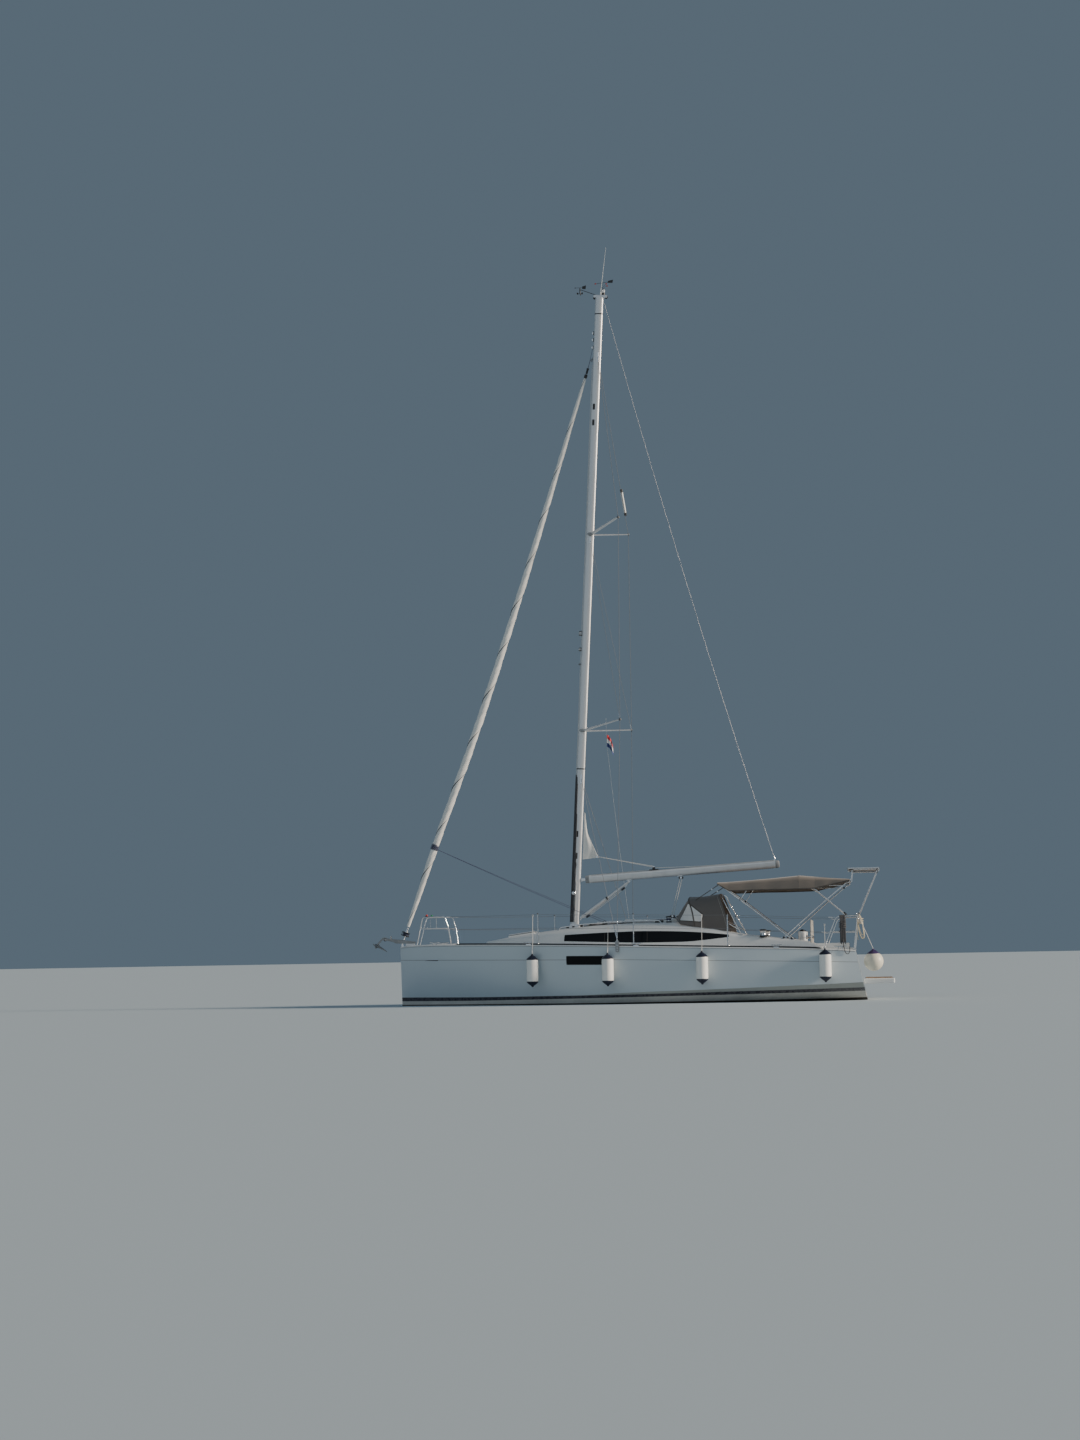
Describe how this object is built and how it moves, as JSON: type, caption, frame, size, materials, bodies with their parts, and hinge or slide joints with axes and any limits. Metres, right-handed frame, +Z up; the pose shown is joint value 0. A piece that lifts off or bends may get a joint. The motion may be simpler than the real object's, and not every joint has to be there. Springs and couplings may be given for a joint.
{
  "type": "sailing yacht",
  "caption": "Cruising sailing yacht afloat with furled sails, bimini, sprayhood, fenders and a fold-down stern platform.",
  "frame": {"origin": "on the waterline plane, on the centreline, half way along the hull", "axes": "+X to the bow, +Y to port, +Z up"},
  "size_m": [11.121, 3.678, 18.4809],
  "materials": {
    "white_gelcoat": "glossy gelcoat, boot stripe at the waterline",
    "deck_gelcoat": "satin gelcoat with non-slip panels",
    "painted_iron": "antifouling paint, matt",
    "rudder_paint": "antifouling paint, matt",
    "anodised_alloy": "satin anodised",
    "stainless": "polished stainless steel",
    "black_plastic": "satin",
    "sailcloth": "woven polyester sailcloth",
    "taupe_canvas": "woven acrylic canvas",
    "dark_acrylic": "tinted acrylic, glossy",
    "wood_floor": "oiled",
    "fender_white": "inflated vinyl, satin",
    "ball_cream": "inflated vinyl, satin",
    "bronze": "cast bronze",
    "engine_paint": "enamel"
  },
  "bodies": {
    "yacht": {"hull": "white_gelcoat", "foredeck": "deck_gelcoat", "coachroof_port": "deck_gelcoat", "coachroof_starboard": "deck_gelcoat", "cockpit_port": "deck_gelcoat", "cockpit_starboard": "deck_gelcoat", "keel": "painted_iron", "saildrive_leg": "anodised_alloy", "engine": "engine_paint", "cabin_sole": "wood_floor", "cabin_window_port": "dark_acrylic", "cabin_window_starboard": "dark_acrylic", "toe_rail_port": "black_plastic", "toe_rail_starboard": "black_plastic", "pedestal_port": "white_gelcoat", "pedestal_starboard": "white_gelcoat", "cockpit_table": "white_gelcoat", "spreaders_lower": "anodised_alloy", "spreaders_upper": "anodised_alloy", "mast": "anodised_alloy", "cap_shroud_port": "stainless", "lower_shroud_port": "stainless", "cap_shroud_starboard": "stainless", "lower_shroud_starboard": "stainless", "furled_genoa": "sailcloth", "furler_drum": "black_plastic", "mainsheet": "black_plastic", "pulpit": "stainless", "lifelines_port": "stainless", "lifelines_starboard": "stainless", "pushpit_port": "stainless", "pushpit_starboard": "stainless", "bimini_frame": "stainless", "bimini_canopy": "taupe_canvas", "stern_panel": "black_plastic", "sprayhood_canvas": "taupe_canvas", "sprayhood_frame": "stainless", "fender_1": "fender_white", "fender_2": "fender_white", "fender_3": "fender_white", "fender_4": "fender_white", "ball_fender": "ball_cream", "bow_roller": "stainless", "anchor": "stainless"},
    "boom": {"boom": "anodised_alloy", "boom_vang": "anodised_alloy", "mainsail_clew": "sailcloth", "topping_lift": "stainless"},
    "rudder_port": {"rudder_port": "rudder_paint"},
    "rudder_starboard": {"rudder_starboard": "rudder_paint"},
    "wheel_port": {"wheel_port": "stainless"},
    "wheel_starboard": {"wheel_starboard": "stainless"},
    "propeller": {"propeller": "bronze"},
    "swim_platform": {"swim_platform": "white_gelcoat"},
    "fore_hatch": {"fore_hatch": "dark_acrylic"},
    "saloon_hatch": {"saloon_hatch": "dark_acrylic"},
    "anchor_locker_lid": {"anchor_locker_lid": "deck_gelcoat"},
    "companionway_hatch": {"companionway_hatch": "dark_acrylic"},
    "locker_lid_port": {"locker_lid_port": "wood_floor"},
    "locker_lid_starboard": {"locker_lid_starboard": "wood_floor"}
  },
  "joints": [
    {"name": "boom_swing", "type": "hinge", "parent": "yacht", "child": "boom", "pos_m": [0.99651, 0, 2.633], "axis": [-0.0585, 0, 0.9983], "range_deg": [-55, 55]},
    {"name": "rudder_port_turn", "type": "hinge", "parent": "yacht", "child": "rudder_port", "pos_m": [-4.33, 1.11, -1.29], "axis": [0, -0.1703, 0.9854], "range_deg": [-35, 35]},
    {"name": "rudder_starboard_turn", "type": "hinge", "parent": "yacht", "child": "rudder_starboard", "pos_m": [-4.33, -1.11, -1.29], "axis": [0, 0.1703, 0.9854], "range_deg": [-35, 35]},
    {"name": "wheel_port_turn", "type": "hinge", "parent": "yacht", "child": "wheel_port", "pos_m": [-3.88, 0.62, 1.32], "axis": [1, 0, 0], "range_deg": [-246, 246]},
    {"name": "wheel_starboard_turn", "type": "hinge", "parent": "yacht", "child": "wheel_starboard", "pos_m": [-3.88, -0.62, 1.32], "axis": [1, 0, 0], "range_deg": [-246, 246]},
    {"name": "propeller_spin", "type": "hinge", "parent": "yacht", "child": "propeller", "pos_m": [-1.355, 0, -0.8], "axis": [1, 0, 0], "continuous": true},
    {"name": "swim_platform_fold", "type": "hinge", "parent": "yacht", "child": "swim_platform", "pos_m": [-4.944, 0, 0.335], "axis": [0, 1, 0], "range_deg": [0, 102]},
    {"name": "fore_hatch_lift", "type": "hinge", "parent": "yacht", "child": "fore_hatch", "pos_m": [2.56572, 0, 1.45924], "axis": [0, 1, 0], "range_deg": [0, 90]},
    {"name": "saloon_hatch_lift", "type": "hinge", "parent": "yacht", "child": "saloon_hatch", "pos_m": [0.15603, 0, 1.71162], "axis": [0, -1, 0], "range_deg": [0, 85]},
    {"name": "anchor_locker_lid_lift", "type": "hinge", "parent": "yacht", "child": "anchor_locker_lid", "pos_m": [3.726, 0, 1.316], "axis": [0, -1, 0], "range_deg": [0, 95]},
    {"name": "companionway_hatch_slide", "type": "slide", "parent": "yacht", "child": "companionway_hatch", "axis": [1, 0, 0], "range_m": [0, 0.7]},
    {"name": "locker_lid_port_lift", "type": "hinge", "parent": "yacht", "child": "locker_lid_port", "pos_m": [-2.4, 0.944, 1.004], "axis": [-1, 0, 0], "range_deg": [0, 80]},
    {"name": "locker_lid_starboard_lift", "type": "hinge", "parent": "yacht", "child": "locker_lid_starboard", "pos_m": [-2.4, -0.944, 1.004], "axis": [1, 0, 0], "range_deg": [0, 80]}
  ],
  "couplings": [
    {"joint": "rudder_starboard_turn", "follows": "rudder_port_turn", "ratio": 1},
    {"joint": "wheel_port_turn", "follows": "rudder_port_turn", "ratio": 7},
    {"joint": "wheel_starboard_turn", "follows": "rudder_port_turn", "ratio": 7}
  ]
}
